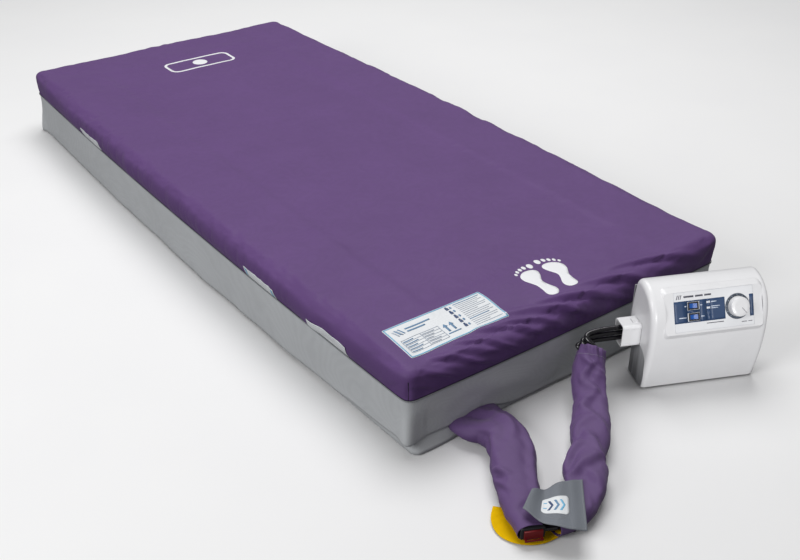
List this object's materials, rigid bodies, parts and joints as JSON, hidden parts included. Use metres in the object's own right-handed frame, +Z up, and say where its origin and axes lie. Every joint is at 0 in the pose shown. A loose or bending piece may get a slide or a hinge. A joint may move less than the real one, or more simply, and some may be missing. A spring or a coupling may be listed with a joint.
{
  "type": "pressure relief mattress",
  "caption": "Alternating air cell mattress in a zipped two-part cover with a hanging skirt, fed through a sleeved hose loop and quick release by a small air pump.",
  "frame": {"origin": "centre of the mattress underside, on the surface it lies on", "axes": "+Y along the mattress towards the head end, +Z up, +X to the right seen from the foot end"},
  "size_m": [0.9342, 2.391, 0.237],
  "materials": {
    "purple_fabric": "matte",
    "grey_fabric": "matte",
    "binding": "matte",
    "zip_nylon": "matte",
    "white_label": "satin",
    "white_print": "matte",
    "zip_metal": "satin",
    "grey_felt": "matte",
    "cell_nylon": "satin",
    "clear_plastic": "gloss",
    "black_plastic": "satin",
    "black_hose": "gloss",
    "red_plastic": "gloss",
    "yellow_webbing": "matte",
    "white_plastic": "satin",
    "grey_plastic": "satin",
    "steel": "satin",
    "overlay_film": "satin",
    "blue_plastic": "gloss",
    "amber_lens": "gloss",
    "board_green": "satin",
    "cast_aluminium": "matte",
    "iron_core": "satin",
    "steel_plate": "satin",
    "black_rubber": "matte",
    "clear_hose": "gloss"
  },
  "bodies": {
    "mattress": {"base_cover": "grey_fabric", "zip_tape_lower": "zip_nylon", "base_pad": "grey_felt", "cell_sheet": "grey_fabric", "alternating_cells_a": "cell_nylon", "alternating_cells_b": "cell_nylon", "static_head_cells": "cell_nylon", "cell_connectors": "clear_plastic", "cell_press_studs": "black_plastic", "feed_line_a": "black_hose", "feed_line_b": "black_hose", "feed_line_static": "black_hose", "pump_hose_a": "black_hose", "pump_hose_b": "black_hose", "pump_hose_static": "black_hose", "hose_sleeve_mattress": "purple_fabric", "hose_sleeve_pump": "purple_fabric", "cpr_coupling": "red_plastic", "pump_connector": "white_plastic"},
    "cover": {"top_cover": "purple_fabric", "skirt_flap": "grey_fabric", "seam_binding": "binding", "side_tags": "white_label", "care_label": "white_label", "printed_motifs": "white_print", "zip_tape_upper": "zip_nylon"},
    "zip_slider": {"zip_slider": "zip_metal"},
    "zip_pull": {"zip_pull": "zip_metal"},
    "cpr_release": {"cpr_plug": "red_plastic", "cpr_strap": "yellow_webbing", "cpr_tag": "grey_fabric"},
    "release_latch": {"release_latch": "white_plastic"},
    "pump": {"front_case": "white_plastic", "rear_case": "grey_plastic", "back_panel": "white_plastic", "hook_pivot_pins": "steel", "rubber_feet": "white_plastic", "case_screws": "steel", "panel_overlay": "overlay_film", "dial_bezel": "black_plastic", "pressure_regulator": "black_plastic", "switch_frames": "black_plastic", "indicator_lights": "amber_lens", "circuit_board": "board_green", "compressor_body": "cast_aluminium", "compressor_coils": "iron_core", "diaphragms": "black_rubber", "valve_block": "white_plastic", "valve_motor": "iron_core", "outlet_socket": "grey_plastic", "internal_tubes": "clear_hose", "mains_inlet": "black_plastic"},
    "pressure_dial": {"pressure_dial": "white_plastic"},
    "power_rocker": {"power_rocker": "blue_plastic"},
    "mode_rocker": {"mode_rocker": "blue_plastic"},
    "left_hook": {"left_hanger_hook": "grey_plastic"},
    "right_hook": {"right_hanger_hook": "grey_plastic"},
    "swing_arm": {"swing_arm": "steel_plate"},
    "valve_rotor": {"valve_rotor": "black_plastic"},
    "fuse_drawer": {"fuse_drawer": "black_plastic"}
  },
  "joints": [
    {"name": "cover_lift", "type": "slide", "parent": "mattress", "child": "cover", "axis": [0, 0, 1], "range_m": [0, 0.3]},
    {"name": "zip_travel", "type": "slide", "parent": "mattress", "child": "zip_slider", "axis": [0, 1, 0], "range_m": [0, 1.76]},
    {"name": "zip_pull_swing", "type": "hinge", "parent": "zip_slider", "child": "zip_pull", "pos_m": [-0.4426, -0.9, 0.108], "axis": [0, 1, 0], "range_deg": [0, 10]},
    {"name": "cpr_pull", "type": "slide", "parent": "mattress", "child": "cpr_release", "axis": [-0.4384, -0.8988, 0], "range_m": [0, 0.022]},
    {"name": "latch_press", "type": "slide", "parent": "mattress", "child": "release_latch", "axis": [0, 0, -1], "range_m": [0, 0.0025], "stiffness_N_per_m": 400},
    {"name": "pump_unplug", "type": "slide", "parent": "mattress", "child": "pump", "axis": [0.9063, -0.4226, 0], "range_m": [0, 0.06]},
    {"name": "dial_turn", "type": "hinge", "parent": "pump", "child": "pressure_dial", "pos_m": [0.25, -1.20795, 0.19077], "axis": [-0.378, -0.8106, 0.4472], "range_deg": [0, 280]},
    {"name": "power_rock", "type": "hinge", "parent": "pump", "child": "power_rocker", "pos_m": [0.16368, -1.16118, 0.20034], "axis": [0.189, 0.4053, 0.8944], "range_deg": [0, 16]},
    {"name": "mode_rock", "type": "hinge", "parent": "pump", "child": "mode_rocker", "pos_m": [0.16018, -1.17104, 0.1795], "axis": [0.189, 0.4053, 0.8944], "range_deg": [0, 16]},
    {"name": "left_hook_fold", "type": "hinge", "parent": "pump", "child": "left_hook", "pos_m": [0.16718, -1.05665, 0.2], "axis": [0.9063, -0.4226, 0], "range_deg": [0, 90]},
    {"name": "right_hook_fold", "type": "hinge", "parent": "pump", "child": "right_hook", "pos_m": [0.31219, -1.12427, 0.2], "axis": [0.9063, -0.4226, 0], "range_deg": [0, 90]},
    {"name": "arm_swing", "type": "hinge", "parent": "pump", "child": "swing_arm", "pos_m": [0.17629, -1.11993, 0.021], "axis": [0.4226, 0.9063, 0], "range_deg": [-2, 2], "stiffness_Nm_per_rad": 0.5},
    {"name": "rotor_spin", "type": "hinge", "parent": "pump", "child": "valve_rotor", "pos_m": [0.26913, -1.16929, 0.03], "axis": [0, 0, 1], "continuous": true},
    {"name": "fuse_drawer_pull", "type": "slide", "parent": "pump", "child": "fuse_drawer", "axis": [0.9063, -0.4226, 0], "range_m": [0, 0.018]}
  ]
}
